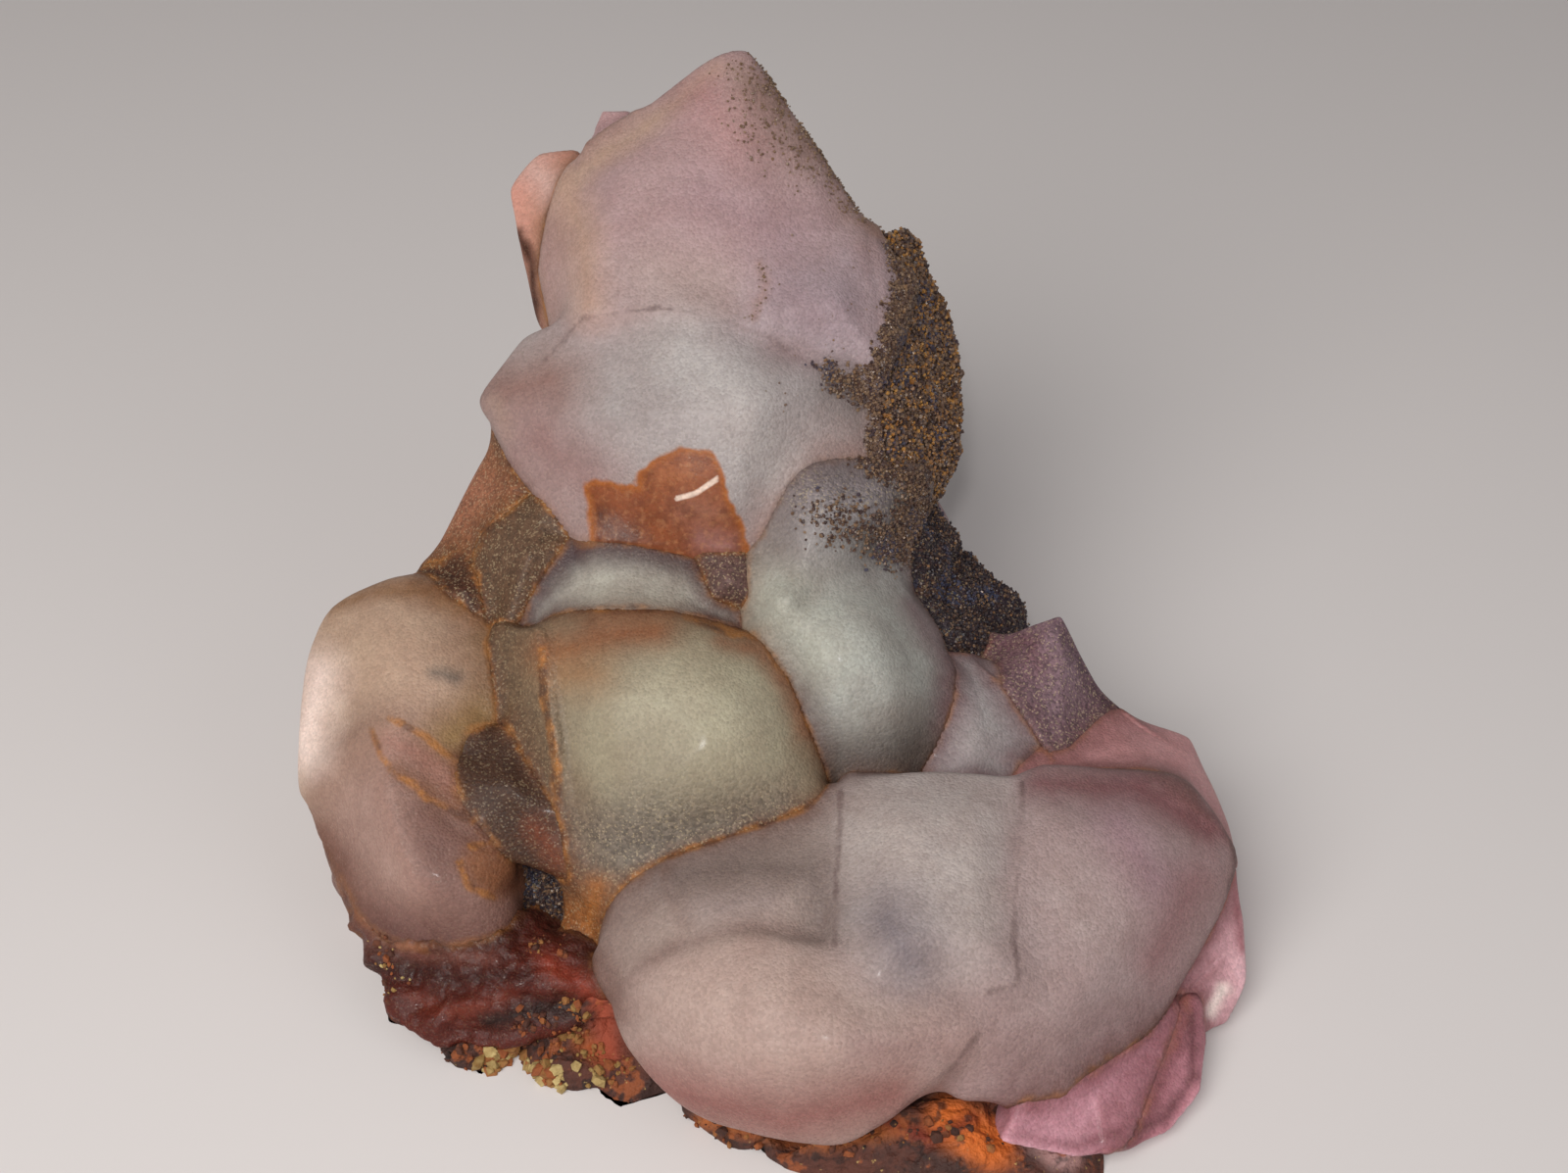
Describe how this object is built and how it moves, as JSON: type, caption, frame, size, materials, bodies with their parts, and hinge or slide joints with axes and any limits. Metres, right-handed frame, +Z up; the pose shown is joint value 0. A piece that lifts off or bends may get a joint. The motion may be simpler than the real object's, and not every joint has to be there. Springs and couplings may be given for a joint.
{
  "type": "chalcedony specimen",
  "caption": "Natural cluster of stubby quartz points skinned with frosted chalcedony, on a remnant of iron-stained rock.",
  "frame": {"origin": "on the flat underside of the rock that the specimen stands on, below the middle of the cluster", "axes": "+Z up, away from the surface it stands on; -Y towards the long front slope of points; +X to its right"},
  "size_m": [0.0951, 0.0988, 0.07],
  "materials": {
    "quartz": "frosted, slightly translucent lavender-grey skin with a fine sugary sparkle and rust in the seams",
    "rock": "rough, dark red-brown broken rock with orange and yellow crumbs"
  },
  "bodies": {
    "root": {"quartz_cluster": "quartz", "rusty_rock": "rock"}
  },
  "joints": []
}
